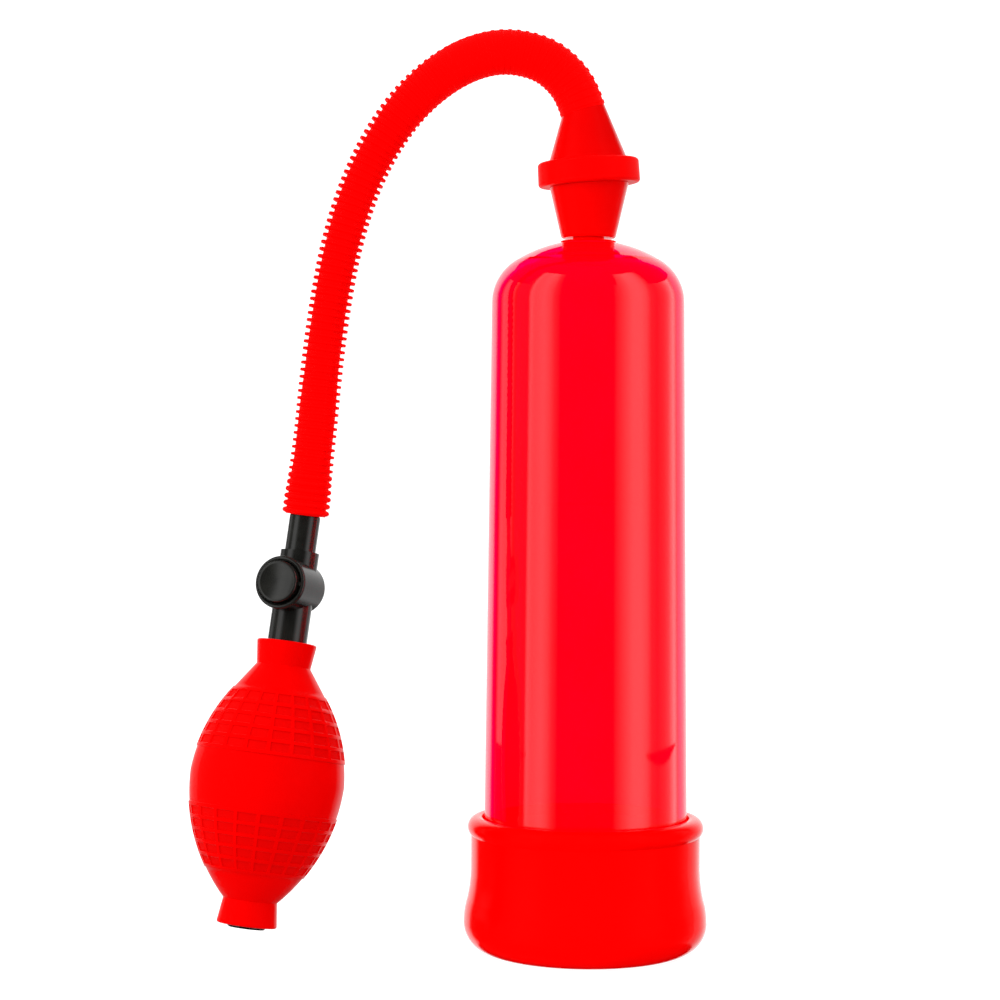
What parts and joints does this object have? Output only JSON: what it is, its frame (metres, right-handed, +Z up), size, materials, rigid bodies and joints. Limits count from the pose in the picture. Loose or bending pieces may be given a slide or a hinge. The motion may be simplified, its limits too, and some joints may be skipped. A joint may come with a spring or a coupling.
{
  "type": "squeeze-bulb vacuum cylinder pump",
  "caption": "Clear cylinder with a domed top and a soft base sleeve, joined by a swivel connector and a ribbed hose to a press-button release valve and a rubber squeeze bulb.",
  "frame": {"origin": "on the cylinder's axis, in the plane of the sleeve's flat underside, which it stands on", "axes": "+Z up along the cylinder; the hose hangs on the -X side in the plane y = 0, with the valve and bulb below it; the release button faces -Y"},
  "size_m": [0.152, 0.072, 0.273],
  "materials": {
    "clear_red": "polished, see-through red acrylic",
    "soft_red": "glossy, slightly translucent soft elastomer",
    "connector_red": "smooth moulded, semi-gloss",
    "hose_red": "satin ribbed",
    "bulb_red": "matt with moulded grip bands",
    "valve_black": "moulded, gloss",
    "seal_rubber": "matt",
    "spring_steel": "drawn wire"
  },
  "bodies": {
    "cylinder": {"cylinder_tube": "clear_red", "base_sleeve": "soft_red", "neck_seal": "seal_rubber"},
    "hose_and_bulb": {"connector_lower_cone": "connector_red", "connector_collar": "connector_red", "connector_upper_cone": "connector_red", "hose_spigot": "valve_black", "hose": "hose_red", "hose_stem": "valve_black", "valve_body": "valve_black", "valve_rear_cap": "valve_black", "release_spring": "spring_steel", "inlet_cage": "valve_black", "bulb_shell": "bulb_red", "exhaust_valve_body": "valve_black", "exhaust_cage": "valve_black"},
    "release_button": {"release_button": "valve_black", "release_plunger": "valve_black", "plunger_seal": "seal_rubber"},
    "bulb_front": {"bulb_front_wall": "bulb_red"},
    "bulb_back": {"bulb_back_wall": "bulb_red"},
    "inlet_flap": {"inlet_flap": "seal_rubber"},
    "exhaust_flap": {"exhaust_flap": "seal_rubber"}
  },
  "joints": [
    {"name": "connector_swivel", "type": "hinge", "parent": "cylinder", "child": "hose_and_bulb", "pos_m": [0, 0, 0.215], "axis": [0, 0, 1], "continuous": true},
    {"name": "release_button_press", "type": "slide", "parent": "hose_and_bulb", "child": "release_button", "axis": [0.3155, 0.9346, -0.1645], "range_m": [0, 0.0022], "stiffness_N_per_m": 900, "springref_m": -0.001, "deforming": ["release_spring"]},
    {"name": "bulb_squeeze_front", "type": "slide", "parent": "hose_and_bulb", "child": "bulb_front", "axis": [-0.0166, 0.9914, -0.1295], "range_m": [0, 0.008], "stiffness_N_per_m": 700},
    {"name": "bulb_squeeze_back", "type": "slide", "parent": "hose_and_bulb", "child": "bulb_back", "axis": [0.0166, -0.9914, 0.1295], "range_m": [0, 0.008], "stiffness_N_per_m": 700},
    {"name": "inlet_flap_lift", "type": "slide", "parent": "hose_and_bulb", "child": "inlet_flap", "axis": [-0.126, -0.1305, -0.9834], "range_m": [0, 0.0008], "stiffness_N_per_m": 40},
    {"name": "exhaust_flap_lift", "type": "slide", "parent": "hose_and_bulb", "child": "exhaust_flap", "axis": [-0.126, -0.1305, -0.9834], "range_m": [0, 0.0008], "stiffness_N_per_m": 40}
  ],
  "couplings": [
    {"joint": "bulb_squeeze_back", "follows": "bulb_squeeze_front", "ratio": 1},
    {"joint": "exhaust_flap_lift", "follows": "bulb_squeeze_front", "ratio": 0.1}
  ]
}
